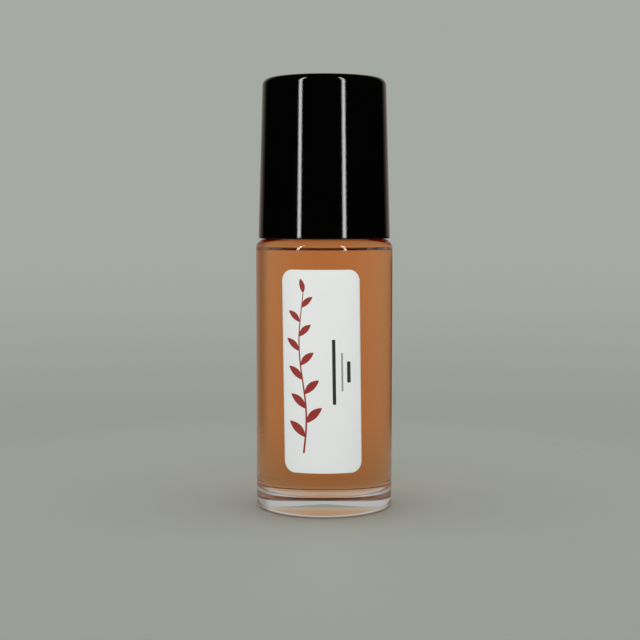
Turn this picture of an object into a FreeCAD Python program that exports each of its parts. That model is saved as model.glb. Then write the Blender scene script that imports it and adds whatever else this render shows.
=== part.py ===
"""Glass roll-on bottle for perfume oil: bottle, oil, label, roller fitment and screw cap.

Millimetres, +Z up. The origin is the centre of the ring that the bottle stands on,
and the label faces -Y.
"""
import FreeCAD, Part

import math
import os

import Sketcher

SIZES = {
    # glass bottle
    "body_radius": 15.5,
    "heel_round": 1.0,
    "rest_ring": 3.2,
    "push_up": 1.6,
    "wall": 1.9,
    "base_thickness": 4.0,
    "floor_round": 2.5,
    "shoulder_height": 60.95,
    "shoulder_round": 2.2,
    "shoulder_thickness": 2.35,
    "roof_rise": 1.2,
    "inner_shoulder_round": 0.5,
    "throat_round": 0.8,
    "neck_setback": 5.7,
    "neck_height": 12.35,
    "neck_wall": 2.0,
    "neck_root_round": 0.8,
    "mouth_round": 0.4,
    "bead_rise": 1.35,
    "bead_height": 1.6,
    "bead_depth": 1.0,
    "bead_round": 0.4,
    # oil
    "oil_gap": 0.05,
    "fill_drop": 0.1,
    # label
    "label_width": 17.75,
    "label_bottom": 10.03,
    "label_headroom": 6.42,
    "label_corner": 2.5,
    "label_thickness": 0.12,
    "label_gap": 0.02,
    "label_turn": -2.3,
    # roller housing and ball
    "plug_clearance": 0.35,
    "plug_depth": 9.5,
    "plug_wall": 1.05,
    "plug_chamfer": 0.5,
    "seal_ring_gap": 0.02,
    "seal_ring_height": 0.9,
    "first_ring_drop": 2.6,
    "second_ring_drop": 5.4,
    "flange_overhang": 0.25,
    "cup_wall": 1.2,
    "cup_draft": 0.3,
    "cup_round": 0.5,
    "ball_gap": 0.15,
    "ball_height": 5.9,
    "lip_height": 3.3,
    "seat_ledge": 1.4,
    "seat_thickness": 1.0,
    "feed_count": 4,
    "feed_width": 1.4,
    "feed_reach": 0.9,
    # seal and liner
    "seal_gap": 0.12,
    "seal_thickness": 1.6,
    "seal_inset": 2.7,
    "seal_round": 0.5,
    "liner_gap": 0.05,
    "liner_thickness": 1.95,
    "liner_clearance": 0.2,
    # cap core
    "thread_room": 1.4,
    "core_wall": 1.0,
    "core_ceiling": 1.5,
    "core_setback": 1.25,
    "core_round": 0.6,
    "ring_inset": 0.2,
    "ring_wall": 1.0,
    "ring_gap": 0.3,
    "boss_radius": 5.2,
    "boss_wall": 1.2,
    "boss_gap": 0.05,
    # cap shell
    "rim_gap": 0.1,
    "rim_setback": 0.6,
    "shell_wall": 1.5,
    "shell_ceiling": 1.6,
    "shell_edge_round": 1.6,
    "shell_rim_round": 0.3,
    "crown_clearance": 0.19,
    "crown_room": 2.03,
    "rib_count": 12,
    "rib_gap": 0.05,
    "rib_angle": 4.5,
    "rib_setback": 2.45,
    "rib_root": 0.3,
}

FULL_TURN = 360.0
CLOSE = 1e-4

doc = FreeCAD.newDocument("roll_on_bottle")
sheet = doc.addObject("Spreadsheet::Sheet", "Sizes")
for row, (alias, number) in enumerate(SIZES.items(), 1):
    sheet.set(f"A{row}", alias)
    sheet.set(f"B{row}", str(number))
    sheet.setAlias(f"B{row}", alias)
doc.recompute()


class Size:
    """A length with the sheet formula that it comes from."""

    def __init__(self, formula, value):
        self.formula = formula
        self.value = value

    def __add__(self, other):
        return Size(f"({self.formula} + {other.formula})", self.value + other.value)

    def __sub__(self, other):
        return Size(f"({self.formula} - {other.formula})", self.value - other.value)

    def __mul__(self, other):
        return Size(f"({self.formula} * {other.formula})", self.value * other.value)

    def __truediv__(self, other):
        return Size(f"({self.formula} / {other.formula})", self.value / other.value)

    def root(self):
        return Size(f"sqrt({self.formula})", math.sqrt(self.value))

    def sine(self):
        """The sine of an angle that is given in radians."""
        return Size(f"sin({self.formula} * 180 / pi)", math.sin(self.value))


def size(alias):
    return Size(f"Sizes.{alias}", SIZES[alias])


ZERO = Size("0", 0.0)
TWO = Size("2", 2.0)

# Heights and radii that several pieces share.
body_radius = size("body_radius")
cavity_radius = body_radius - size("wall")
shoulder = size("shoulder_height")
shoulder_inside = shoulder - size("shoulder_thickness")
throat_roof = shoulder_inside + size("roof_rise")
neck_radius = body_radius - size("neck_setback")
bore_radius = neck_radius - size("neck_wall")
land = shoulder + size("neck_height")

cup_radius = neck_radius + size("flange_overhang")
socket_radius = cup_radius - size("cup_wall")
ball_radius = socket_radius - size("ball_gap")
ball_centre = land + size("ball_height")
lip = ball_centre + size("lip_height")
lip_radius = (socket_radius * socket_radius - size("lip_height") * size("lip_height")).root()

seal_dish_radius = ball_radius + size("seal_gap")
seal_top = ball_centre + seal_dish_radius + size("seal_thickness")
liner_bottom = seal_top + size("liner_gap")
liner_top = liner_bottom + size("liner_thickness")

rim = shoulder + size("rim_gap")
core_bottom = rim + size("core_setback")
core_bore = neck_radius + size("thread_room")
core_radius = core_bore + size("core_wall")
core_roof = liner_top + size("liner_gap")
core_top = core_roof + size("core_ceiling")
ring_inner = lip_radius + size("ring_inset")
ring_outer = ring_inner + size("ring_wall")

shell_roof = core_top + size("crown_room")
shell_top = shell_roof + size("shell_ceiling")
shell_rim_radius = body_radius - size("rim_setback")
shell_top_radius = core_radius + size("crown_clearance") + size("shell_wall")


def new_body(label):
    body = doc.addObject("PartDesign::Body", label)
    body.Label = label
    return body


def origin_plane(body, role):
    return next(item for item in body.Origin.OriginFeatures if item.Role == role)


def pin_point(sketch, geometry, end, across, along):
    """Holds one end of a line or arc at a radius and a height that the sheet sets."""
    for kind, axis, where in (("DistanceX", -2, across), ("DistanceY", -1, along)):
        if where.value == 0.0:
            sketch.addConstraint(Sketcher.Constraint("PointOnObject", geometry, end, axis))
            continue
        index = sketch.addConstraint(Sketcher.Constraint(kind, -1, 1, geometry, end, where.value))
        sketch.setExpression(f"Constraints[{index}]", where.formula)


def arc_between(first, last, radius, side):
    """The short arc between two points whose centre is left (+1) or right (-1) of the way it runs."""
    chord = last - first
    reach = math.sqrt(max(radius**2 - (chord.Length / 2) ** 2, 0.0))
    left = FreeCAD.Vector(-chord.y, chord.x, 0).normalize()
    centre = (first + last) * 0.5 + left * (side * reach)
    ends = (first, last) if side > 0 else (last, first)
    angles = [math.atan2(point.y - centre.y, point.x - centre.x) for point in ends]
    circle = Part.Circle(centre, FreeCAD.Vector(0, 0, 1), radius)
    return Part.ArcOfCircle(circle, angles[0], angles[1])


def profile(body, name, corners, role="XZ_Plane"):
    """A closed outline of (radius, height) corners; (radius, height, arc, side) starts an arc."""
    sketch = body.newObject("Sketcher::SketchObject", name)
    sketch.AttachmentSupport = [(origin_plane(body, role), "")]
    sketch.MapMode = "FlatFace"
    points = [FreeCAD.Vector(corner[0].value, corner[1].value, 0) for corner in corners]
    ends = []
    for index, corner in enumerate(corners):
        first, last = points[index], points[(index + 1) % len(points)]
        if len(corner) == 2:
            sketch.addGeometry(Part.LineSegment(first, last))
            ends.append((1, 2))
            continue
        radius, side = corner[2:]
        sketch.addGeometry(arc_between(first, last, radius.value, side))
        ends.append((1, 2) if side > 0 else (2, 1))
    for index, corner in enumerate(corners):
        following = (index + 1) % len(corners)
        joint = (index, ends[index][1], following, ends[following][0])
        sketch.addConstraint(Sketcher.Constraint("Coincident", *joint))
    for index, corner in enumerate(corners):
        pin_point(sketch, index, ends[index][0], corner[0], corner[1])
        if len(corner) > 2:
            radius = sketch.addConstraint(Sketcher.Constraint("Radius", index, corner[2].value))
            sketch.setExpression(f"Constraints[{radius}]", corner[2].formula)
    return sketch


def turned(body, name, corners, angle=None, kind="PartDesign::Revolution"):
    """Turns an outline about Z: all the way round, or by an angle centred on the sketch."""
    sketch = profile(body, name + "_profile", corners)
    turn = body.newObject(kind, name)
    turn.Profile = sketch
    turn.ReferenceAxis = (sketch, ["V_Axis"])
    turn.Angle = FULL_TURN
    if angle is not None:
        turn.Midplane = True
        turn.setExpression("Angle", angle.formula)
    doc.recompute()
    return turn


def round_rims(body, name, radius, rims):
    """Rounds the circular edges about Z that lie at the given (radius, height) places."""
    base = body.Tip
    picked = []
    for number, edge in enumerate(base.Shape.Edges, 1):
        if edge.Degenerated or not isinstance(edge.Curve, Part.Circle):
            continue
        centre = edge.Curve.Center
        on_axis = math.hypot(centre.x, centre.y) < CLOSE
        for across, along in rims:
            same_size = abs(edge.Curve.Radius - across.value) < CLOSE
            if on_axis and same_size and abs(centre.z - along.value) < CLOSE:
                picked.append(f"Edge{number}")
    rounding = body.newObject("PartDesign::Fillet", name)
    rounding.Base = (base, picked)
    rounding.setExpression("Radius", radius.formula)
    doc.recompute()


def repeat_round(body, name, feature, sketch_axis, count):
    """Repeats a feature evenly about Z."""
    pattern = body.newObject("PartDesign::PolarPattern", name)
    pattern.Originals = [feature]
    pattern.Axis = sketch_axis
    pattern.Angle = FULL_TURN
    pattern.setExpression("Occurrences", count.formula)
    body.Tip = pattern
    doc.recompute()


def check_cut(body, volume_before):
    """Stops the build if a cut took nothing away."""
    if body.Tip.Shape.Volume >= volume_before - CLOSE:
        raise RuntimeError(f"{body.Tip.Label} cuts nothing")


def make_glass_bottle():
    """Pressed glass: pushed-up base, thick floor, straight wall, low sloping roof and a beaded neck."""
    body = new_body("glass_bottle")
    rest_outer = body_radius - size("heel_round")
    rest_inner = rest_outer - size("rest_ring")
    floor = size("base_thickness")
    bead_bottom = shoulder + size("bead_rise")
    bead_top = bead_bottom + size("bead_height")
    bead_radius = neck_radius + size("bead_depth")
    turned(body, "bottle_wall", [
        (ZERO, size("push_up")),
        (rest_inner, ZERO),
        (body_radius, ZERO),
        (body_radius, shoulder),
        (neck_radius, shoulder),
        (neck_radius, bead_bottom),
        (bead_radius, bead_bottom),
        (bead_radius, bead_top),
        (neck_radius, bead_top),
        (neck_radius, land),
        (bore_radius, land),
        (bore_radius, throat_roof),
        (cavity_radius, shoulder_inside),
        (cavity_radius, floor),
        (ZERO, floor),
    ])
    round_rims(body, "heel", size("heel_round"), [(body_radius, ZERO)])
    round_rims(body, "shoulder_edge", size("shoulder_round"), [(body_radius, shoulder)])
    round_rims(body, "neck_root", size("neck_root_round"), [(neck_radius, shoulder)])
    round_rims(body, "bead_edges", size("bead_round"), [(bead_radius, bead_bottom), (bead_radius, bead_top)])
    round_rims(body, "mouth_edges", size("mouth_round"), [(neck_radius, land), (bore_radius, land)])
    round_rims(body, "throat", size("throat_round"), [(bore_radius, throat_roof)])
    round_rims(body, "inner_shoulder", size("inner_shoulder_round"), [(cavity_radius, shoulder_inside)])
    round_rims(body, "inner_floor", size("floor_round"), [(cavity_radius, floor)])
    return body


def make_perfume_oil():
    """The oil follows the inside of the glass and stands just up into the throat of the neck."""
    body = new_body("perfume_oil")
    gap = size("oil_gap")
    outer = cavity_radius - gap
    throat = bore_radius - gap
    floor = size("base_thickness") + gap
    ceiling = shoulder_inside - gap
    throat_ceiling = throat_roof - gap
    level = shoulder - size("fill_drop")
    turned(body, "oil_fill", [
        (ZERO, floor),
        (outer, floor),
        (outer, ceiling),
        (throat, throat_ceiling),
        (throat, level),
        (ZERO, level),
    ])
    round_rims(body, "oil_floor", size("floor_round") - gap, [(outer, floor)])
    round_rims(body, "oil_shoulder", size("inner_shoulder_round") - gap, [(outer, ceiling)])
    round_rims(body, "oil_throat", size("throat_round") + gap, [(throat, throat_ceiling)])
    return body


def make_front_label():
    """A thin sheet with rounded corners, cut flat and wrapped on the front of the wall."""
    body = new_body("front_label")
    inner = body_radius + size("label_gap")
    outer = inner + size("label_thickness")
    bottom = size("label_bottom")
    top = shoulder - size("label_headroom")
    corner = size("label_corner")
    right = inner * (size("label_width") / (TWO * inner)).sine()
    left = ZERO - right
    outline = profile(body, "label_outline", [
        (left + corner, bottom),
        (right - corner, bottom, corner, 1),
        (right, bottom + corner),
        (right, top - corner, corner, 1),
        (right - corner, top),
        (left + corner, top, corner, 1),
        (left, top - corner),
        (left, bottom + corner, corner, 1),
    ])
    blank = body.newObject("PartDesign::Pad", "label_blank")
    blank.Profile = outline
    blank.setExpression("Length", outer.formula)
    doc.recompute()
    for name, near, far in (("label_back", ZERO, inner), ("label_face", outer, outer + outer)):
        volume_before = body.Tip.Shape.Volume
        turned(body, name, [
            (near, ZERO),
            (far, ZERO),
            (far, shoulder),
            (near, shoulder),
        ], kind="PartDesign::Groove")
        check_cut(body, volume_before)
    body.setExpression("Placement.Rotation.Yaw", size("label_turn").formula)
    return body


def make_roller_housing():
    """A moulded plug with two sealing rings, and a cup whose lip snaps over the ball."""
    body = new_body("roller_housing")
    plug_radius = bore_radius - size("plug_clearance")
    plug_bore = plug_radius - size("plug_wall")
    plug_bottom = land - size("plug_depth")
    chamfer = size("plug_chamfer")
    ring_radius = bore_radius - size("seal_ring_gap")
    half_ring = size("seal_ring_height") / TWO
    first_ring = land - size("first_ring_drop")
    second_ring = land - size("second_ring_drop")
    seat = plug_bore - size("seat_ledge")
    seat_drop = (socket_radius * socket_radius - seat * seat).root()
    seat_top = ball_centre - seat_drop
    seat_bottom = seat_top - size("seat_thickness")
    cup_top_radius = cup_radius - size("cup_draft")
    turned(body, "housing_wall", [
        (plug_bore, plug_bottom),
        (plug_radius - chamfer, plug_bottom),
        (plug_radius, plug_bottom + chamfer),
        (plug_radius, second_ring - half_ring),
        (ring_radius, second_ring),
        (plug_radius, second_ring + half_ring),
        (plug_radius, first_ring - half_ring),
        (ring_radius, first_ring),
        (plug_radius, first_ring + half_ring),
        (plug_radius, land),
        (cup_radius, land),
        (cup_top_radius, lip),
        (lip_radius, lip, socket_radius, -1),
        (socket_radius, ball_centre, socket_radius, -1),
        (seat, seat_top),
        (seat, seat_bottom),
        (plug_bore, seat_bottom),
    ])
    round_rims(body, "cup_edge", size("cup_round"), [(cup_top_radius, lip)])

    half_width = size("feed_width") / TWO
    slot_start = seat - half_width
    slot_end = seat + size("feed_reach")
    slot = profile(body, "feed_outline", [
        (slot_start, ZERO - half_width),
        (slot_end, ZERO - half_width),
        (slot_end, half_width),
        (slot_start, half_width),
    ], role="XY_Plane")
    slot.setExpression("AttachmentOffset.Base.z", plug_bottom.formula)
    doc.recompute()
    volume_before = body.Tip.Shape.Volume
    feed = body.newObject("PartDesign::Pocket", "feed_slot")
    feed.Profile = slot
    feed.Reversed = True
    feed.setExpression("Length", (seat_top - plug_bottom + size("feed_reach")).formula)
    doc.recompute()
    check_cut(body, volume_before)
    repeat_round(body, "feed_slots", feed, (slot, ["N_Axis"]), size("feed_count"))
    return body


def make_roller_ball():
    ball = doc.addObject("Part::Sphere", "roller_ball")
    ball.Label = "roller_ball"
    ball.setExpression("Radius", ball_radius.formula)
    ball.setExpression("Placement.Base.z", ball_centre.formula)
    return ball


def make_ball_seal():
    """A soft disc, dished below to sit on the crown of the ball."""
    body = new_body("ball_seal")
    edge = ball_radius - size("seal_inset")
    dish_drop = (seal_dish_radius * seal_dish_radius - edge * edge).root()
    turned(body, "seal_disc", [
        (ZERO, ball_centre + seal_dish_radius, seal_dish_radius, -1),
        (edge, ball_centre + dish_drop),
        (edge, seal_top),
        (ZERO, seal_top),
    ])
    round_rims(body, "seal_edge", size("seal_round"), [(edge, seal_top)])
    return body


def make_cap_liner():
    liner = doc.addObject("Part::Cylinder", "cap_liner")
    liner.Label = "cap_liner"
    liner.setExpression("Radius", (ring_inner - size("liner_clearance")).formula)
    liner.setExpression("Height", size("liner_thickness").formula)
    liner.setExpression("Placement.Base.z", liner_bottom.formula)
    return liner


def make_cap_core():
    """The inner cap: a threaded skirt, a ring that closes on the housing's lip, and a boss on top."""
    body = new_body("cap_core")
    boss_top = shell_roof - size("boss_gap")
    boss_outer = size("boss_radius")
    boss_inner = boss_outer - size("boss_wall")
    ring_bottom = lip + size("ring_gap")
    turned(body, "core_wall", [
        (ZERO, core_roof),
        (ring_inner, core_roof),
        (ring_inner, ring_bottom),
        (ring_outer, ring_bottom),
        (ring_outer, core_roof),
        (core_bore, core_roof),
        (core_bore, core_bottom),
        (core_radius, core_bottom),
        (core_radius, core_top),
        (boss_outer, core_top),
        (boss_outer, boss_top),
        (boss_inner, boss_top),
        (boss_inner, core_top),
        (ZERO, core_top),
    ])
    round_rims(body, "core_edge", size("core_round"), [(core_radius, core_top)])
    return body


def make_cap_shell():
    """The outer cap: a tapered shell with a soft top edge, and ribs inside that grip the core."""
    body = new_body("cap_shell")
    wall = size("shell_wall")
    taper = (shell_rim_radius - shell_top_radius) / (shell_top - rim)
    roof_radius = shell_top_radius - wall + taper * size("shell_ceiling")
    rim_inner = shell_rim_radius - wall
    turned(body, "shell_wall", [
        (ZERO, shell_roof),
        (roof_radius, shell_roof),
        (rim_inner, rim),
        (shell_rim_radius, rim),
        (shell_top_radius, shell_top),
        (ZERO, shell_top),
    ])
    round_rims(body, "shell_edge", size("shell_edge_round"), [(shell_top_radius, shell_top)])
    round_rims(body, "shell_rim", size("shell_rim_round"), [(shell_rim_radius, rim), (rim_inner, rim)])

    rib_bottom = rim + size("rib_setback")
    rib_inner = core_radius + size("rib_gap")
    root = size("rib_root")
    rib = turned(body, "grip_rib", [
        (rib_inner, rib_bottom),
        (rim_inner - taper * size("rib_setback") + root, rib_bottom),
        (roof_radius + root, shell_roof),
        (rib_inner, shell_roof),
    ], angle=size("rib_angle"))
    repeat_round(body, "grip_ribs", rib, (rib.Profile[0], ["V_Axis"]), size("rib_count"))
    return body


sub_parts = [
    make_glass_bottle(),
    make_perfume_oil(),
    make_front_label(),
    make_roller_housing(),
    make_roller_ball(),
    make_ball_seal(),
    make_cap_liner(),
    make_cap_core(),
    make_cap_shell(),
]
doc.recompute()

failed = [item.Label for item in doc.Objects if "Invalid" in item.State or "Error" in item.State]
failed += [item.Label for item in sub_parts if item.Shape.isNull() or not item.Shape.isValid()]
if failed:
    raise RuntimeError(f"failed to build: {failed}")

os.makedirs("parts", exist_ok=True)
for item in sub_parts:
    item.Shape.exportStep(os.path.join("parts", item.Label + ".step"))
    box = item.Shape.BoundBox
    print(item.Label, "solids", len(item.Shape.Solids), "volume", round(item.Shape.Volume, 2),
          "z", round(box.ZMin, 2), round(box.ZMax, 2), "r", round(box.XMax, 2))
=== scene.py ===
"""A roll-on bottle of perfume oil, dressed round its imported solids: metres, +Z up, the label faces -Y."""

import bmesh
import bpy
import numpy as np
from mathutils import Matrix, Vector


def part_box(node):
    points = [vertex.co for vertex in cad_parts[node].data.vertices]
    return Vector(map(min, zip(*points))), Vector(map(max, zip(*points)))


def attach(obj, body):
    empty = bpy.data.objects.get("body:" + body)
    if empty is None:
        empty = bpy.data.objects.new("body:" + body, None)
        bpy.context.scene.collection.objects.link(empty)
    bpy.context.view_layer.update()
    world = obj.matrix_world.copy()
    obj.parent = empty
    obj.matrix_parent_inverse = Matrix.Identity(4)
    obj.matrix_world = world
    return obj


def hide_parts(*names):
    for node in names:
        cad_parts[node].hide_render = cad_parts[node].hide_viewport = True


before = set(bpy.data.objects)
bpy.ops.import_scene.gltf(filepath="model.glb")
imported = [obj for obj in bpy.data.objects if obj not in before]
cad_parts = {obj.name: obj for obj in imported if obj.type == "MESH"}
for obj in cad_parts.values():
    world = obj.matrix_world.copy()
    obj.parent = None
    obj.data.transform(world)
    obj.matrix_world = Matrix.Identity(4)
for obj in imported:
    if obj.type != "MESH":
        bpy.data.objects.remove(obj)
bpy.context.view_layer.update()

# Glass bottle. Clear flint glass, pressed in a mould: a thick base with a push-up, a straight wall, a
# rounded shoulder with a low sloping roof inside, and a neck with a bead and one start of thread.
glass_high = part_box("glass_bottle")[1]
oil_low, oil_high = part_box("perfume_oil")
BODY_RADIUS = glass_high.x
NECK_TOP = glass_high.z
OIL_LEVEL = oil_high.z
OIL_GAP = 0.00005
CAVITY_RADIUS = oil_high.x + OIL_GAP
CAVITY_FLOOR = oil_low.z - OIL_GAP
CAVITY_ROOF = 0.0586
SHOULDER = 0.06095
SHOULDER_ROUND = 0.0022
HEEL_ROUND = 0.0010
PUSH_UP = 0.0016
REST_RING_INNER = 0.0113
REST_RING_ROUND = 0.0006
NECK_RADIUS = 0.0098
NECK_FOOT_ROUND = 0.0008
NECK_RIM_ROUND = 0.0004
BORE_RADIUS = 0.0078
BEAD_RADIUS = 0.0108
BEAD_BOTTOM = 0.0623
BEAD_TOP = 0.0639
BEAD_ROUND = 0.0004
BEAD_FOOT_ROUND = 0.0002
FLOOR_ROUND = 0.0025
ROOF_ROUND = 0.0009
ROOF_RISE = 0.0012
THROAT_ROUND = 0.0008
THREAD_LEAD = 0.00318
THREAD_START = 0.0664
THREAD_SWEEP = np.radians(450.0)
THREAD_FADE = np.radians(28.0)
THREAD_DEPTH = 0.0011
THREAD_HALF_WIDTH = 0.00085
ON_WALL = 1e-6
WELD = 1e-7
GLASS_IOR = 1.52
OIL_IOR = 1.47


def rounded_outline(corners, steps=9):
    """Straight lines through corners (r, z, round), each inner corner turned into an arc.

    With unit vectors u and v from a corner to its neighbours and h half the angle between them, the
    arc's centre lies round / sin h along the bisector, and the arc joins the points that lie
    round / tan h along u and along v.
    """
    corners = np.array(corners, float)
    place, rounding = corners[1:-1, :2], corners[1:-1, 2:]
    u = corners[:-2, :2] - place
    v = corners[2:, :2] - place
    u /= np.linalg.norm(u, axis=1, keepdims=True)
    v /= np.linalg.norm(v, axis=1, keepdims=True)
    half = np.arccos(np.sum(u * v, axis=1, keepdims=True)) / 2
    bisector = (u + v) / np.linalg.norm(u + v, axis=1, keepdims=True)
    centre = place + bisector * rounding / np.sin(half)
    start = place + u * rounding / np.tan(half) - centre
    end = place + v * rounding / np.tan(half) - centre
    sweep = (np.pi - 2 * half)[:, None]
    share = np.linspace(0, 1, steps)[None, :, None]
    arc = np.sin((1 - share) * sweep) * start[:, None] + np.sin(share * sweep) * end[:, None]
    arcs = centre[:, None] + arc / np.sin(sweep)
    return np.vstack([corners[:1, :2], arcs.reshape(-1, 2), corners[-1:, :2]])


def with_rows(outline, low, high, rows):
    """The outline with more points where its straight lines pass heights low to high, evenly by length."""
    length = np.append(0, np.cumsum(np.linalg.norm(np.diff(outline, axis=0), axis=1)))
    fine = np.linspace(0, length[-1], rows)
    height = np.interp(fine, length, outline[:, 1])
    fine = fine[(height > low) & (height < high)]
    stations = np.unique(np.concatenate([length, fine]))
    return np.stack([np.interp(stations, length, outline[:, i]) for i in (0, 1)], axis=1)


def placed(name, mesh):
    """A smooth-shaded object of a mesh, put in the scene."""
    mesh.shade_smooth()
    piece = bpy.data.objects.new(name, mesh)
    bpy.context.scene.collection.objects.link(piece)
    return piece


def turned(name, outline, columns=256, closed=False, relief=None, flats=True):
    """A surface of revolution: each outline point (r, z) goes round Z as (r cos a, r sin a, z).

    relief(a, r, z) is added to r. The outline runs out along the bottom, up the outside and back
    inside, so that faces point outwards, and its points on the axis become single poles. With flats,
    the shading follows the large faces, so that flats stay flat to their edges.
    """
    angle = np.linspace(0, 2 * np.pi, columns, endpoint=False)[None, :]
    radius = np.repeat(outline[:, :1], columns, axis=1)
    height = np.repeat(outline[:, 1:], columns, axis=1)
    if relief is not None:
        radius = radius + relief(angle, radius, height)
    points = np.stack([radius * np.cos(angle), radius * np.sin(angle), height], axis=-1)
    rows = len(outline)
    row, column = np.meshgrid(np.arange(rows if closed else rows - 1), np.arange(columns), indexing="ij")
    over, across = (row + 1) % rows, (column + 1) % columns
    faces = np.stack([row * columns + column, row * columns + across,
                      over * columns + across, over * columns + column], axis=-1)
    mesh = bpy.data.meshes.new(name)
    mesh.from_pydata(points.reshape(-1, 3).tolist(), [], faces.reshape(-1, 4).tolist())
    shell = bmesh.new()
    shell.from_mesh(mesh)
    bmesh.ops.remove_doubles(shell, verts=shell.verts, dist=WELD)
    shell.to_mesh(mesh)
    shell.free()
    piece = placed(name, mesh)
    if flats:
        piece.modifiers.new("flat_faces_lead", "WEIGHTED_NORMAL")
    return piece


def thread_ridge(angle, height, start, half_width):
    """How much of a screw ridge stands at (angle, height): a cosine hump about the helix
    start + lead * angle / full turn, summed over the turns and faded in and out at its ends."""
    ridge = np.zeros(np.broadcast(angle, height).shape)
    for turn in (0, 1):
        along = angle + 2 * np.pi * turn
        off = (height - start - THREAD_LEAD * along / (2 * np.pi)) / half_width
        hump = np.where(np.abs(off) < 1, 0.5 + 0.5 * np.cos(np.pi * off), 0)
        fade = np.clip(np.minimum(along, THREAD_SWEEP - along) / THREAD_FADE, 0, 1)
        ridge = np.maximum(ridge, np.sqrt(hump) * fade * fade * (3 - 2 * fade))
    return ridge


def neck_thread(angle, radius, height):
    """The thread stands out from the neck's outer wall only, where r is within a hair of the neck."""
    on_wall = np.abs(radius - NECK_RADIUS) < ON_WALL
    return on_wall * THREAD_DEPTH * thread_ridge(angle, height, THREAD_START, THREAD_HALF_WIDTH)


def shader_of(material):
    """The one Principled shader of a material."""
    return material.node_tree.nodes["Principled BSDF"]


def finish(name, **sockets):
    """A material of one Principled shader whose named sockets are set to plain values."""
    material = bpy.data.materials.new(name)
    material.use_nodes = True
    for socket, value in sockets.items():
        shader_of(material).inputs[socket.replace("_", " ")].default_value = value
    return material


def grain(material, scale, stretch=(1, 1, 1), detail=3.0):
    """The value of a noise on the piece's own coordinates, with scale in cells per metre."""
    nodes, links = material.node_tree.nodes, material.node_tree.links
    place = nodes.new("ShaderNodeTexCoord")
    mapping = nodes.new("ShaderNodeMapping")
    mapping.inputs["Scale"].default_value = stretch
    noise = nodes.new("ShaderNodeTexNoise")
    noise.inputs["Scale"].default_value = scale
    noise.inputs["Detail"].default_value = detail
    links.new(place.outputs["Object"], mapping.inputs["Vector"])
    links.new(mapping.outputs["Vector"], noise.inputs["Vector"])
    return noise.outputs["Fac"]


def tint(material, value, first, second):
    """Colours a surface by a value: the first colour where it is 0 and the second where it is 1."""
    mix = material.node_tree.nodes.new("ShaderNodeMix")
    mix.data_type = "RGBA"
    mix.inputs["A"].default_value = (*first, 1)
    mix.inputs["B"].default_value = (*second, 1)
    material.node_tree.links.new(value, mix.inputs["Factor"])
    material.node_tree.links.new(mix.outputs["Result"], shader_of(material).inputs["Base Color"])


def roughen(material, value, low, high):
    """Makes a surface as rough as low where a value is 0 and as high where it is 1."""
    span = material.node_tree.nodes.new("ShaderNodeMapRange")
    span.inputs["To Min"].default_value = low
    span.inputs["To Max"].default_value = high
    material.node_tree.links.new(value, span.inputs["Value"])
    material.node_tree.links.new(span.outputs["Result"], shader_of(material).inputs["Roughness"])


def dent(material, value, depth, strength):
    """Raises and sinks the shading of a surface by a value, with depth in metres."""
    bump = material.node_tree.nodes.new("ShaderNodeBump")
    bump.inputs["Strength"].default_value = strength
    bump.inputs["Distance"].default_value = depth
    material.node_tree.links.new(value, bump.inputs["Height"])
    material.node_tree.links.new(bump.outputs["Normal"], shader_of(material).inputs["Normal"])


glass_outline = rounded_outline([
    (0, PUSH_UP, 0),
    (REST_RING_INNER, 0, REST_RING_ROUND),
    (BODY_RADIUS, 0, HEEL_ROUND),
    (BODY_RADIUS, SHOULDER, SHOULDER_ROUND),
    (NECK_RADIUS, SHOULDER, NECK_FOOT_ROUND),
    (NECK_RADIUS, BEAD_BOTTOM, BEAD_FOOT_ROUND),
    (BEAD_RADIUS, BEAD_BOTTOM, BEAD_ROUND),
    (BEAD_RADIUS, BEAD_TOP, BEAD_ROUND),
    (NECK_RADIUS, BEAD_TOP, BEAD_FOOT_ROUND),
    (NECK_RADIUS, NECK_TOP, NECK_RIM_ROUND),
    (BORE_RADIUS, NECK_TOP, NECK_RIM_ROUND),
    (BORE_RADIUS, CAVITY_ROOF + ROOF_RISE, THROAT_ROUND),
    (CAVITY_RADIUS, CAVITY_ROOF, ROOF_ROUND),
    (CAVITY_RADIUS, CAVITY_FLOOR, FLOOR_ROUND),
    (0, CAVITY_FLOOR, 0),
])
glass_outline = with_rows(glass_outline, BEAD_TOP, NECK_TOP, rows=1100)
glass = turned("bottle_glass", glass_outline, relief=neck_thread)
clear_glass = finish("clear_glass", Base_Color=(0.985, 0.995, 0.99, 1), Roughness=0.0,
                     Transmission_Weight=1.0, IOR=GLASS_IOR)
# Where oil wets the wall, light bends only by the ratio of the two.
wetted_glass = finish("wetted_glass", Base_Color=(1, 1, 1, 1), Roughness=0.0,
                      Transmission_Weight=1.0, IOR=GLASS_IOR / OIL_IOR)
glass.data.materials.append(clear_glass)
glass.data.materials.append(wetted_glass)
centres = np.empty(len(glass.data.polygons) * 3)
glass.data.polygons.foreach_get("center", centres)
centres = centres.reshape(-1, 3)
reach = np.hypot(centres[:, 0], centres[:, 1])
wet = (reach < CAVITY_RADIUS) & (centres[:, 2] > CAVITY_FLOOR - OIL_GAP) & (centres[:, 2] < OIL_LEVEL)
glass.data.polygons.foreach_set("material_index", wet.astype(np.int32))
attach(glass, "bottle")
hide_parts("glass_bottle")

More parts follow.
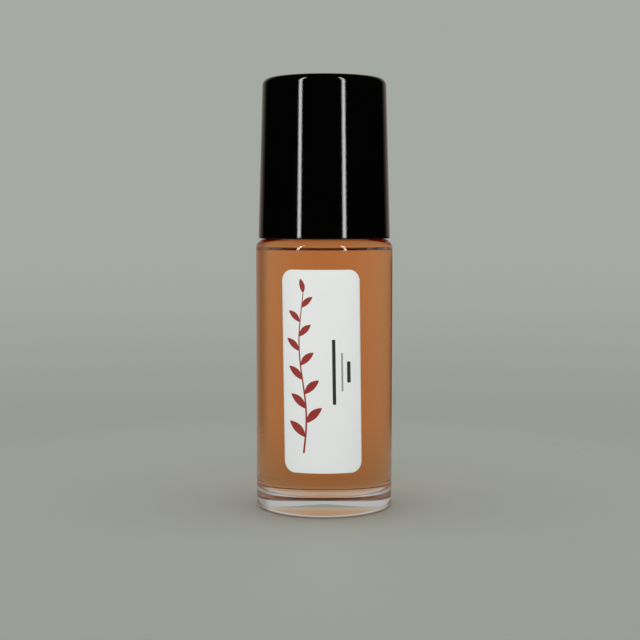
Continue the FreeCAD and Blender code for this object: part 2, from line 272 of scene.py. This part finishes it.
# Perfume oil. Clear amber oil that fills the cavity and stands just up into the throat of the neck.
# It wets the glass all round, so its sides bend no light of their own and only colour it.
OIL_TINT = (0.981, 0.575, 0.12, 1)
OIL_DENSITY = 100.0
OIL_EDGE_ROUND = 0.0002
oil = turned("oil", rounded_outline([
    (0, CAVITY_FLOOR + OIL_GAP, 0),
    (oil_high.x, CAVITY_FLOOR + OIL_GAP, FLOOR_ROUND - OIL_GAP),
    (oil_high.x, CAVITY_ROOF - OIL_GAP, ROOF_ROUND - OIL_GAP),
    (BORE_RADIUS - OIL_GAP, CAVITY_ROOF + ROOF_RISE - OIL_GAP, THROAT_ROUND + OIL_GAP),
    (BORE_RADIUS - OIL_GAP, OIL_LEVEL, OIL_EDGE_ROUND),
    (0, OIL_LEVEL, 0),
]), columns=192)
amber_oil = finish("amber_oil", Base_Color=(1, 1, 1, 1), Roughness=0.0, Transmission_Weight=1.0, IOR=1.0)
absorb = amber_oil.node_tree.nodes.new("ShaderNodeVolumeAbsorption")
absorb.inputs["Color"].default_value = OIL_TINT
absorb.inputs["Density"].default_value = OIL_DENSITY
output = amber_oil.node_tree.nodes["Material Output"]
amber_oil.node_tree.links.new(absorb.outputs["Volume"], output.inputs["Volume"])
oil.data.materials.append(amber_oil)
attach(oil, "bottle")
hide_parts("perfume_oil")

# Front label. Satin white film with rounded corners, die-cut flat and stuck to the front of the wall
# by hand, so it sits a little to the left and leans by about a degree.
label_low, label_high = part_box("front_label")
LABEL_HEIGHT = label_high.z - label_low.z
LABEL_MIDDLE = (label_high.z + label_low.z) / 2
LABEL_WIDTH = 0.01775
LABEL_CORNER = 0.0025
LABEL_TURN = np.radians(-2.3)
LABEL_LEAN = np.radians(0.9)
LABEL_PROUD = 0.00012
LABEL_FACE = BODY_RADIUS + LABEL_PROUD
LABEL_THICKNESS = 0.00013
LABEL_ROWS = 60
LABEL_COLUMNS = 72
CORNER_ROWS = 14


def on_label(across, up, lift=0.0):
    """A flat label point wrapped on the bottle: across becomes the angle across / radius, moved
    sideways in step with its height so that the label leans."""
    angle = LABEL_TURN + (across - up * np.tan(LABEL_LEAN)) / BODY_RADIUS
    radius = LABEL_FACE + lift
    return np.stack([radius * np.sin(angle), -radius * np.cos(angle),
                     LABEL_MIDDLE + up + 0 * angle], axis=-1)


def patch(name, grids):
    """Grids of points (rows, columns, 3) as one mesh, each joined to its own neighbours."""
    points, faces, first = [], [], 0
    for grid in grids:
        rows, columns = grid.shape[:2]
        row, column = np.meshgrid(np.arange(rows - 1), np.arange(columns - 1), indexing="ij")
        corner = first + row * columns + column
        face = np.stack([corner, corner + 1, corner + columns + 1, corner + columns], axis=-1)
        faces.append(face.reshape(-1, 4))
        points.append(grid.reshape(-1, 3))
        first += rows * columns
    mesh = bpy.data.meshes.new(name)
    mesh.from_pydata(np.vstack(points).tolist(), [], np.vstack(faces).tolist())
    return placed(name, mesh)


# Each row of the label is as wide as a rounded rectangle is at that height.
straight = np.linspace(-1, 1, LABEL_ROWS) * (LABEL_HEIGHT / 2 - LABEL_CORNER)
bend = np.linspace(0, np.pi / 2, CORNER_ROWS)[1:]
top = straight[-1] + LABEL_CORNER * np.sin(bend)
up = np.concatenate([-top[::-1], straight, top])
past = np.clip(np.abs(up) - straight[-1], 0, LABEL_CORNER)
half_width = LABEL_WIDTH / 2 - LABEL_CORNER + np.sqrt(LABEL_CORNER**2 - past**2)
across = half_width[:, None] * np.linspace(-1, 1, LABEL_COLUMNS)[None, :]
label = patch("label", [on_label(across, up[:, None] + 0 * across)])
backing = label.modifiers.new("film_thickness", "SOLIDIFY")
backing.thickness = LABEL_THICKNESS
backing.offset = -1
label_film = finish("label_film", IOR=1.46)
fibre = grain(label_film, scale=2600.0)
tint(label_film, grain(label_film, scale=220.0), (0.83, 0.85, 0.845), (0.86, 0.875, 0.87))
roughen(label_film, fibre, low=0.36, high=0.5)
dent(label_film, fibre, depth=0.00002, strength=0.15)
label.data.materials.append(label_film)
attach(label, "bottle")
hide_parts("front_label")

# Label print. A plain leaf sprig in rust-red ink that climbs the left of the label, and three short
# dark rules on its right, laid on the film as a thin layer.
INK_LIFT = 0.000006
STEM_FOOT = -0.0178
STEM_TIP = 0.0172
STEM_ACROSS = -0.0042
STEM_SWAY = 0.0007
STEM_BENDS = 2.2
STEM_HALF_WIDTH = 0.00022
STEM_THINNING = 0.00012
STEM_ROWS = 90
LEAF_COUNT = 11
LEAF_LENGTH = 0.0052
LEAF_WIDTH = 0.0019
LEAF_BOW = 0.0009
LEAF_FULLNESS = 0.8
LEAF_SHRINK = 0.38
LEAF_SPREAD = 46
TIP_LEAF_SPREAD = 12
LEAF_ROWS = 24
LEAF_COLUMNS = 9
FIRST_LEAF = 0.1
LONG_RULE = {"place": 0.0027, "length": 0.0142, "width": 0.00075}
SHORT_RULE = {"place": 0.0060, "length": 0.0046, "width": 0.0008}
FINE_RULE = {"place": 0.0045, "length": 0.0084, "width": 0.0004}
RULE_ROWS = 12


def stem_line(share):
    """The stem's middle line: straight up, swaying sideways by one slow sine."""
    sideways = STEM_ACROSS + STEM_SWAY * np.sin(STEM_BENDS * np.pi * share)
    return sideways, STEM_FOOT + (STEM_TIP - STEM_FOOT) * share


def stem_grid():
    """The stem as a ribbon about its middle line that thins towards the tip."""
    share = np.linspace(0, 1, STEM_ROWS)[:, None]
    side = np.array([-1.0, 1.0])[None, :]
    middle, height = stem_line(share)
    return on_label(middle + side * (STEM_HALF_WIDTH - STEM_THINNING * share), height + 0 * side, INK_LIFT)


def leaf_grid(number):
    """One leaf: a lens whose half width is width * sin(pi * s) ^ fullness along its bowed length,
    turned to alternate sides of the stem and smaller towards the tip."""
    share = FIRST_LEAF + (1 - FIRST_LEAF) * number / (LEAF_COUNT - 1)
    side = 1 if number % 2 else -1
    lean = np.radians(90 - side * (TIP_LEAF_SPREAD if number == LEAF_COUNT - 1 else LEAF_SPREAD))
    size = 1.0 - LEAF_SHRINK * share
    along = np.linspace(0, 1, LEAF_ROWS)[:, None]
    over = np.linspace(-1, 1, LEAF_COLUMNS)[None, :]
    x = LEAF_LENGTH * size * along + 0 * over
    y = LEAF_WIDTH / 2 * size * np.sin(np.pi * along) ** LEAF_FULLNESS * over
    y = y + side * LEAF_BOW * size * along * (1 - along)
    foot, height = stem_line(share)
    return on_label(foot + x * np.cos(lean) - y * np.sin(lean),
                    height + x * np.sin(lean) + y * np.cos(lean), INK_LIFT)


def rule_grid(place, length, width):
    """A plain upright rule, half above and half below the label's middle."""
    side = np.array([-1.0, 1.0])[None, :]
    share = np.linspace(-1, 1, RULE_ROWS)[:, None]
    return on_label(place + width / 2 * side + 0 * share, length / 2 * share + 0 * side, INK_LIFT)


def print_piece(name, grids, ink, pale, dark):
    """Ink of one colour on the label, a little uneven as print is."""
    piece = patch(name, grids)
    material = finish(ink, Roughness=0.5)
    tint(material, grain(material, scale=900.0), pale, dark)
    piece.data.materials.append(material)
    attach(piece, "bottle")


print_piece("label_sprig", [stem_grid()] + [leaf_grid(n) for n in range(LEAF_COUNT)],
            "rust_ink", (0.37, 0.024, 0.015), (0.29, 0.016, 0.011))
print_piece("label_rules", [rule_grid(**LONG_RULE), rule_grid(**SHORT_RULE)],
            "dark_ink", (0.03, 0.03, 0.032), (0.015, 0.015, 0.017))
print_piece("label_fine_rule", [rule_grid(**FINE_RULE)],
            "grey_ink", (0.36, 0.36, 0.37), (0.28, 0.28, 0.29))

# Roller housing. One moulding of natural polyethylene: a plug with two sealing rings that presses into
# the neck, a seat with four feed slots under the ball, and a cup whose thin lip snaps over it.
ball_low, ball_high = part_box("roller_ball")
housing_low, housing_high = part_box("roller_housing")
BALL_RADIUS = ball_high.x
BALL_CENTRE = (ball_low.z + ball_high.z) / 2
BALL_PLAY = 0.00015
SOCKET_RADIUS = BALL_RADIUS + BALL_PLAY
LIP = housing_high.z
LIP_ROUND = 0.0005
LIP_EDGE = 0.00002
PLUG_BOTTOM = housing_low.z
PLUG_RADIUS = 0.00745
PLUG_BORE = 0.0064
PLUG_BORE_ROUND = 0.00005
PLUG_LEAD_IN = 0.0005
PLUG_LEAD_IN_ROUND = 0.0001
CUP_RADIUS = 0.01005
CUP_TOP_RADIUS = 0.00975
CUP_FOOT_ROUND = 0.00015
CUP_ROUND = 0.00025
RING_RADIUS = 0.00778
RING_HALF = 0.00045
RING_HEIGHTS = (0.0679, 0.0707)
RING_FOOT_ROUND = 0.00005
RING_CREST_ROUND = 0.0001
SEAT_RADIUS = 0.0050
SEAT_THICKNESS = 0.0010
SEAT_MARGIN = 1e-5
FEED_COUNT = 4
FEED_WIDTH = 0.0014
FEED_REACH = 0.0009
SEAT_TOP = BALL_CENTRE - np.sqrt(SOCKET_RADIUS**2 - SEAT_RADIUS**2)
lip_angle = np.arcsin((LIP - BALL_CENTRE) / SOCKET_RADIUS)
seat_angle = -np.arccos(SEAT_RADIUS / SOCKET_RADIUS)


def circle_outline(radius, height, first, last, steps):
    """Points of a circle about the axis point at that height, from one elevation angle to another."""
    angle = np.linspace(first, last, steps)
    return np.stack([radius * np.cos(angle), height + radius * np.sin(angle)], axis=1)


def off_spokes(angle, count):
    """How far an angle lies from the nearest of count even spokes, the first at 0."""
    turn = 2 * np.pi / count
    return np.abs((angle + turn / 2) % turn - turn / 2)


def feed_slots(angle, radius, height):
    """Four slots cut the seat's edge back, each a little over a millimetre wide."""
    edge = (radius < SEAT_RADIUS + SEAT_MARGIN) & (height < SEAT_TOP + SEAT_MARGIN)
    return edge * FEED_REACH * (off_spokes(angle, FEED_COUNT) * radius < FEED_WIDTH / 2)


ring_corners = [
    corner for height in RING_HEIGHTS for corner in (
        (PLUG_RADIUS, height - RING_HALF, RING_FOOT_ROUND),
        (RING_RADIUS, height, RING_CREST_ROUND),
        (PLUG_RADIUS, height + RING_HALF, RING_FOOT_ROUND),
    )
]
housing_outline = np.vstack([
    rounded_outline([
        (PLUG_BORE, PLUG_BOTTOM + 2 * PLUG_BORE_ROUND, 0),
        (PLUG_BORE, PLUG_BOTTOM, PLUG_BORE_ROUND),
        (PLUG_RADIUS - PLUG_LEAD_IN, PLUG_BOTTOM, PLUG_LEAD_IN_ROUND),
        (PLUG_RADIUS, PLUG_BOTTOM + PLUG_LEAD_IN, PLUG_LEAD_IN_ROUND),
        *ring_corners,
        (PLUG_RADIUS, NECK_TOP, CUP_FOOT_ROUND),
        (CUP_RADIUS, NECK_TOP, CUP_ROUND),
        (CUP_TOP_RADIUS, LIP, LIP_ROUND),
        (SOCKET_RADIUS * np.cos(lip_angle) - LIP_EDGE, LIP, 0),
    ], steps=6),
    circle_outline(SOCKET_RADIUS, BALL_CENTRE, lip_angle, seat_angle, steps=40),
    [(SEAT_RADIUS, SEAT_TOP - SEAT_THICKNESS), (PLUG_BORE, SEAT_TOP - SEAT_THICKNESS)],
])
housing = turned("housing", housing_outline, closed=True, relief=feed_slots)
natural_plastic = finish("natural_plastic", Roughness=0.32, IOR=1.5, Subsurface_Weight=0.35,
                         Subsurface_Radius=(0.0016, 0.0014, 0.0012), Subsurface_Scale=1.0)
mottle = grain(natural_plastic, scale=420.0)
tint(natural_plastic, mottle, (0.76, 0.78, 0.76), (0.83, 0.845, 0.83))
roughen(natural_plastic, mottle, low=0.26, high=0.4)
dent(natural_plastic, grain(natural_plastic, scale=3500.0), depth=0.00002, strength=0.2)
housing.data.materials.append(natural_plastic)
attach(housing, "bottle")
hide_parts("roller_housing")

# Roller ball. A moulded and tumbled white polypropylene ball that turns freely in the socket and
# carries a film of oil, so it is smooth with a few faint scuffs.
ball_outline = circle_outline(BALL_RADIUS, BALL_CENTRE, -np.pi / 2, np.pi / 2, steps=129)
ball = turned("ball", ball_outline, columns=192)
ball_plastic = finish("ball_plastic", IOR=1.5, Subsurface_Weight=0.15,
                      Subsurface_Radius=(0.001, 0.001, 0.0009), Subsurface_Scale=1.0)
scuff = grain(ball_plastic, scale=700.0, stretch=(1.0, 0.15, 1.0), detail=6.0)
tint(ball_plastic, grain(ball_plastic, scale=150.0), (0.84, 0.84, 0.82), (0.88, 0.88, 0.865))
roughen(ball_plastic, scuff, low=0.06, high=0.22)
ball.data.materials.append(ball_plastic)
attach(ball, "ball")
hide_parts("roller_ball")

# Ball seal. A soft polyethylene disc, dished below to sit on the crown of the ball and stop the oil
# creeping past it while the cap is on.
seal_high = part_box("ball_seal")[1]
SEAL_RADIUS = seal_high.x
SEAL_PLAY = 0.00012
SEAL_DISH = BALL_RADIUS + SEAL_PLAY
SEAL_ROUND = 0.0005
SEAL_EDGE = 0.0001
dish_edge = np.arccos(SEAL_RADIUS / SEAL_DISH)
seal = turned("seal", np.vstack([
    circle_outline(SEAL_DISH, BALL_CENTRE, np.pi / 2, dish_edge, steps=40),
    rounded_outline([
        (SEAL_RADIUS, BALL_CENTRE + SEAL_DISH * np.sin(dish_edge) + SEAL_EDGE, 0),
        (SEAL_RADIUS, seal_high.z, SEAL_ROUND),
        (0, seal_high.z, 0),
    ]),
]), columns=128)
seal_plastic = finish("seal_plastic", Roughness=0.5, IOR=1.5)
seal_grain = grain(seal_plastic, scale=900.0)
tint(seal_plastic, seal_grain, (0.75, 0.76, 0.75), (0.81, 0.82, 0.81))
dent(seal_plastic, seal_grain, depth=0.00003, strength=0.2)
seal.data.materials.append(seal_plastic)
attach(seal, "seal")
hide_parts("ball_seal")

# Cap liner. A disc stamped from closed-cell foam sheet, held above the seal inside the core's ring, so
# its faces show fine cells and its edge is cut clean.
liner_low, liner_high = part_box("cap_liner")
LINER_ROUND = 0.00015
LINER_CELLS_PER_METRE = 3200.0
liner = turned("liner", rounded_outline([
    (0, liner_low.z, 0),
    (liner_high.x, liner_low.z, LINER_ROUND),
    (liner_high.x, liner_high.z, LINER_ROUND),
    (0, liner_high.z, 0),
]), columns=128)
liner_foam = finish("liner_foam", Base_Color=(0.86, 0.86, 0.835, 1), Roughness=0.85)
place = liner_foam.node_tree.nodes.new("ShaderNodeTexCoord")
cells = liner_foam.node_tree.nodes.new("ShaderNodeTexVoronoi")
cells.inputs["Scale"].default_value = LINER_CELLS_PER_METRE
liner_foam.node_tree.links.new(place.outputs["Object"], cells.inputs["Vector"])
tint(liner_foam, cells.outputs["Distance"], (0.78, 0.78, 0.755), (0.88, 0.88, 0.855))
dent(liner_foam, cells.outputs["Distance"], depth=0.00008, strength=0.5)
liner.data.materials.append(liner_foam)
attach(liner, "liner")
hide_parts("cap_liner")

# Cap core. The inner cap, moulded in black polypropylene: a skirt with one start of thread that runs
# between the neck's, a ring that centres on the housing's lip, and a boss that meets the shell.
core_low, core_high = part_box("cap_core")
CORE_RADIUS = 0.0122
CORE_BORE = 0.0112
CORE_ROOF = 0.09167
CORE_TOP = 0.09317
CORE_TOP_ROUND = 0.0006
RING_INNER = 0.00841
RING_OUTER = 0.00941
RING_BOTTOM = 0.0828
BOSS_OUTER = 0.0052
BOSS_INNER = 0.0040
CORE_THREAD_DEPTH = 0.0011
CORE_THREAD_HALF_WIDTH = 0.00065
CORE_THREAD_TOP = 0.0725
EDGE_ROUND = 0.0001


def core_thread(angle, radius, height):
    """The thread stands inwards from the bore, half a lead below the neck's, so the two mesh."""
    on_bore = np.abs(radius - CORE_BORE) < ON_WALL
    start = THREAD_START - THREAD_LEAD / 2
    return -CORE_THREAD_DEPTH * on_bore * thread_ridge(angle, height, start, CORE_THREAD_HALF_WIDTH)


core_outline = with_rows(rounded_outline([
    (0, CORE_ROOF, 0),
    (RING_INNER, CORE_ROOF, EDGE_ROUND),
    (RING_INNER, RING_BOTTOM, EDGE_ROUND),
    (RING_OUTER, RING_BOTTOM, EDGE_ROUND),
    (RING_OUTER, CORE_ROOF, EDGE_ROUND),
    (CORE_BORE, CORE_ROOF, EDGE_ROUND),
    (CORE_BORE, core_low.z, EDGE_ROUND),
    (CORE_RADIUS, core_low.z, EDGE_ROUND),
    (CORE_RADIUS, CORE_TOP, CORE_TOP_ROUND),
    (BOSS_OUTER, CORE_TOP, EDGE_ROUND),
    (BOSS_OUTER, core_high.z, EDGE_ROUND),
    (BOSS_INNER, core_high.z, EDGE_ROUND),
    (BOSS_INNER, CORE_TOP, EDGE_ROUND),
    (0, CORE_TOP, 0),
], steps=5), core_low.z, CORE_THREAD_TOP, rows=900)
core = turned("core", core_outline, columns=192, relief=core_thread)
core_plastic = finish("core_plastic", IOR=1.5)
core_grain = grain(core_plastic, scale=1500.0)
tint(core_plastic, core_grain, (0.012, 0.012, 0.012), (0.02, 0.02, 0.02))
roughen(core_plastic, core_grain, low=0.35, high=0.55)
core.data.materials.append(core_plastic)
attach(core, "cap")
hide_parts("cap_core")

# Cap shell. The outer cap, moulded in gloss black: it tapers to a soft top edge, and twelve ribs on
# its inner wall press on the core and turn it.
shell_low, shell_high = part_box("cap_shell")
RIM = shell_low.z
RIM_ROUND = 0.0003
SHELL_RIM_RADIUS = 0.0149
SHELL_TOP_RADIUS = 0.01389
SHELL_TOP_ROUND = 0.0016
SHELL_WALL = 0.0015
SHELL_ROOF = 0.0952
SHELL_ROOF_ROUND = 0.0002
RIB_COUNT = 12
RIB_HALF_ANGLE = np.radians(2.25)
RIB_BOTTOM = 0.0635
RIB_PLAY = 0.00005
RIB_INNER = CORE_RADIUS + RIB_PLAY
RIB_TOP = SHELL_ROOF - 1e-5
taper = (SHELL_RIM_RADIUS - SHELL_TOP_RADIUS) / (shell_high.z - RIM)
ROOF_RADIUS = SHELL_TOP_RADIUS - SHELL_WALL + taper * (shell_high.z - SHELL_ROOF)
RIM_INNER = SHELL_RIM_RADIUS - SHELL_WALL


def grip_ribs(angle, radius, height):
    """Ribs bring the inner wall in to the core at twelve even angles, from a little above the rim."""
    inner_wall = (radius < RIM_INNER) & (radius > RIB_INNER) & (height > RIB_BOTTOM) & (height < RIB_TOP)
    return inner_wall * (off_spokes(angle, RIB_COUNT) < RIB_HALF_ANGLE) * (RIB_INNER - radius)


shell_outline = with_rows(rounded_outline([
    (0, SHELL_ROOF, 0),
    (ROOF_RADIUS, SHELL_ROOF, SHELL_ROOF_ROUND),
    (RIM_INNER, RIM, RIM_ROUND),
    (SHELL_RIM_RADIUS, RIM, RIM_ROUND),
    (SHELL_TOP_RADIUS, shell_high.z, SHELL_TOP_ROUND),
    (0, shell_high.z, 0),
], steps=14), RIM, SHELL_ROOF, rows=90)
shell = turned("shell", shell_outline, columns=320, relief=grip_ribs)
gloss_black = finish("gloss_black", IOR=1.5)
polish = grain(gloss_black, scale=5200.0, detail=4.0)
tint(gloss_black, grain(gloss_black, scale=60.0), (0.0005, 0.0005, 0.0005), (0.0010, 0.0010, 0.0009))
roughen(gloss_black, polish, low=0.03, high=0.075)
dent(gloss_black, polish, depth=0.000005, strength=1.0)
shell.data.materials.append(gloss_black)
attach(shell, "cap")
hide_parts("cap_shell")

# Studio floor. A plain pale sweep of grey-green card, soft and matt, that fades into the backdrop
# away from the bottle so that no horizon shows.
FLOOR_REACH = 1.2
FLOOR_FIRST_RING = 0.01
FLOOR_RINGS = 40
FLOOR_DROP = 0.00005
FLOOR_FADE = (0.02, 0.15)
FLOOR_COLOUR = (0.66, 0.70, 0.64)
FLOOR_MOTTLE = 1.03
ring = np.concatenate([[0], np.geomspace(FLOOR_FIRST_RING, FLOOR_REACH, FLOOR_RINGS)])
floor_outline = np.stack([ring, 0 * ring - FLOOR_DROP], axis=1)[::-1]
floor = turned("floor", floor_outline, columns=96, flats=False)
floor_card = finish("floor_card", Roughness=0.6)
tint(floor_card, grain(floor_card, scale=7.0), FLOOR_COLOUR, tuple(FLOOR_MOTTLE * c for c in FLOOR_COLOUR))
nodes, links = floor_card.node_tree.nodes, floor_card.node_tree.links
place = nodes.new("ShaderNodeTexCoord")
away = nodes.new("ShaderNodeVectorMath")
away.operation = "LENGTH"
fade = nodes.new("ShaderNodeMapRange")
fade.interpolation_type = "SMOOTHSTEP"
fade.inputs["From Min"].default_value, fade.inputs["From Max"].default_value = FLOOR_FADE
clear = nodes.new("ShaderNodeBsdfTransparent")
blend = nodes.new("ShaderNodeMixShader")
links.new(place.outputs["Object"], away.inputs[0])
links.new(away.outputs["Value"], fade.inputs["Value"])
links.new(fade.outputs["Result"], blend.inputs[0])
links.new(shader_of(floor_card).outputs["BSDF"], blend.inputs[1])
links.new(clear.outputs["BSDF"], blend.inputs[2])
links.new(blend.outputs["Shader"], nodes["Material Output"].inputs["Surface"])
floor.data.materials.append(floor_card)

# Studio backdrop. A pale grey-green wall stands behind the bottle. Reflections find it there, and dark
# room elsewhere and low on the right. What is seen straight or through the glass stays pale.
WALL = (0.375, 0.402, 0.362)
WALL_LOW = (0.305, 0.330, 0.298)
WALL_MIRRORED = (0.36, 0.30, 0.265)
WALL_THROUGH = (0.475, 0.475, 0.475)
LOW_THROUGH = (0.425, 0.42, 0.42)
SIDE_THROUGH = (0.285, 0.285, 0.285)
ROOM_THROUGH = (0.33, 0.33, 0.33)
ROOM_MIRRORED = (0.0008, 0.0008, 0.0008)
AMBIENT = (0.53, 0.535, 0.52)
MIRRORED_BACK = (0.64, 0.97)
MIRRORED_RIGHT = (0.10, 0.30)
MIRRORED_LEVEL = (-0.04, -0.02)
THROUGH_BACK = (0.20, 0.50)
THROUGH_RIGHT = (0.60, 0.80)
LEVEL = (-0.17, -0.03)
world = bpy.data.worlds.new("studio")
bpy.context.scene.world = world
world.use_nodes = True
nodes, links = world.node_tree.nodes, world.node_tree.links
ray = nodes.new("ShaderNodeLightPath")
direction = nodes.new("ShaderNodeTexCoord")
axes = nodes.new("ShaderNodeSeparateXYZ")
links.new(direction.outputs["Generated"], axes.inputs["Vector"])


def towards(axis, low, high):
    """How far a direction leans along an axis: 0 up to low, 1 from high, smooth between."""
    lean = nodes.new("ShaderNodeMapRange")
    lean.interpolation_type = "SMOOTHSTEP"
    lean.inputs["From Min"].default_value = low
    lean.inputs["From Max"].default_value = high
    links.new(axes.outputs[axis], lean.inputs["Value"])
    return lean.outputs["Result"]


def choose(value, first, second):
    """The first colour where a value is 0 and the second where it is 1; either may be a socket."""
    mix = nodes.new("ShaderNodeMix")
    mix.data_type = "RGBA"
    links.new(value, mix.inputs["Factor"])
    for socket, colour in (("A", first), ("B", second)):
        if isinstance(colour, tuple):
            mix.inputs[socket].default_value = (*colour, 1)
        else:
            links.new(colour, mix.inputs[socket])
    return mix.outputs["Result"]


mirrored = choose(towards("Y", *MIRRORED_BACK), ROOM_MIRRORED, WALL_MIRRORED)
low_right = choose(towards("X", *MIRRORED_RIGHT), mirrored, ROOM_MIRRORED)
mirrored = choose(towards("Z", *MIRRORED_LEVEL), low_right, mirrored)
through = choose(towards("Z", *LEVEL), LOW_THROUGH, WALL_THROUGH)
through = choose(towards("X", *THROUGH_RIGHT), through, SIDE_THROUGH)
through = choose(towards("Y", *THROUGH_BACK), ROOM_THROUGH, through)
wall = choose(towards("Z", *LEVEL), WALL_LOW, WALL)
seen = choose(ray.outputs["Is Glossy Ray"], AMBIENT, mirrored)
seen = choose(ray.outputs["Is Transmission Ray"], seen, through)
seen = choose(ray.outputs["Is Camera Ray"], seen, wall)
links.new(seen, nodes["Background"].inputs["Color"])

# Strip lights. Two tall narrow softboxes stand in front of the bottle, left and right of the camera,
# and draw one thin upright line each on the cap. They are flagged off the floor, which the room alone
# lights, so no hard shadow falls on it.
STRIP_AZIMUTHS = {"left_strip": -43.8, "right_strip": 34.6}
STRIP_DISTANCE = 0.60
STRIP_WIDTH = 0.055
STRIP_FOOT = 0.047
STRIP_HEAD = 0.78
STRIP_MIDDLE = (STRIP_HEAD + STRIP_FOOT) / 2
STRIP_RADIANCE = 13.0
shaded = bpy.data.collections.new("shaded_from_strips")
shaded.objects.link(floor)
shaded.collection_objects[0].light_linking.link_state = "EXCLUDE"
for name, azimuth in STRIP_AZIMUTHS.items():
    turn = np.radians(azimuth)
    strip = bpy.data.lights.new(name, "AREA")
    strip.shape = "RECTANGLE"
    strip.size = STRIP_WIDTH
    strip.size_y = STRIP_HEAD - STRIP_FOOT
    strip.energy = STRIP_RADIANCE * np.pi * strip.size * strip.size_y
    lamp = bpy.data.objects.new(name, strip)
    lamp.location = (STRIP_DISTANCE * np.sin(turn), -STRIP_DISTANCE * np.cos(turn), STRIP_MIDDLE)
    lamp.rotation_euler = (np.pi / 2, 0, turn)
    lamp.visible_camera = False
    lamp.visible_transmission = False
    lamp.light_linking.receiver_collection = shaded
    bpy.context.scene.collection.objects.link(lamp)

# Light paths. Light that goes through glass, oil and glass again, and is turned back inside the base and
# the shoulder, meets many surfaces, so it is followed further than usual.
PATH_LENGTH = 48
tracing = bpy.context.scene.cycles
tracing.max_bounces = PATH_LENGTH
tracing.transmission_bounces = PATH_LENGTH
tracing.glossy_bounces = PATH_LENGTH

# Camera. It stands 30 cm in front of the bottle, just above its middle, and looks a little down, as in
# the photograph. Colours are shown as they are, without a film curve.
CAMERA_PLACE = (-0.00097, -0.2977, 0.06675)
CAMERA_TILT = np.radians(4.67)
camera_data = bpy.data.cameras.new("camera")
camera_data.lens = 73.6
camera_data.sensor_width = 36.0
camera = bpy.data.objects.new("camera", camera_data)
camera.location = CAMERA_PLACE
camera.rotation_euler = (np.pi / 2 - CAMERA_TILT, 0, 0)
bpy.context.scene.collection.objects.link(camera)
bpy.context.scene.camera = camera
bpy.context.scene.view_settings.view_transform = "Standard"

bpy.context.view_layer.update()
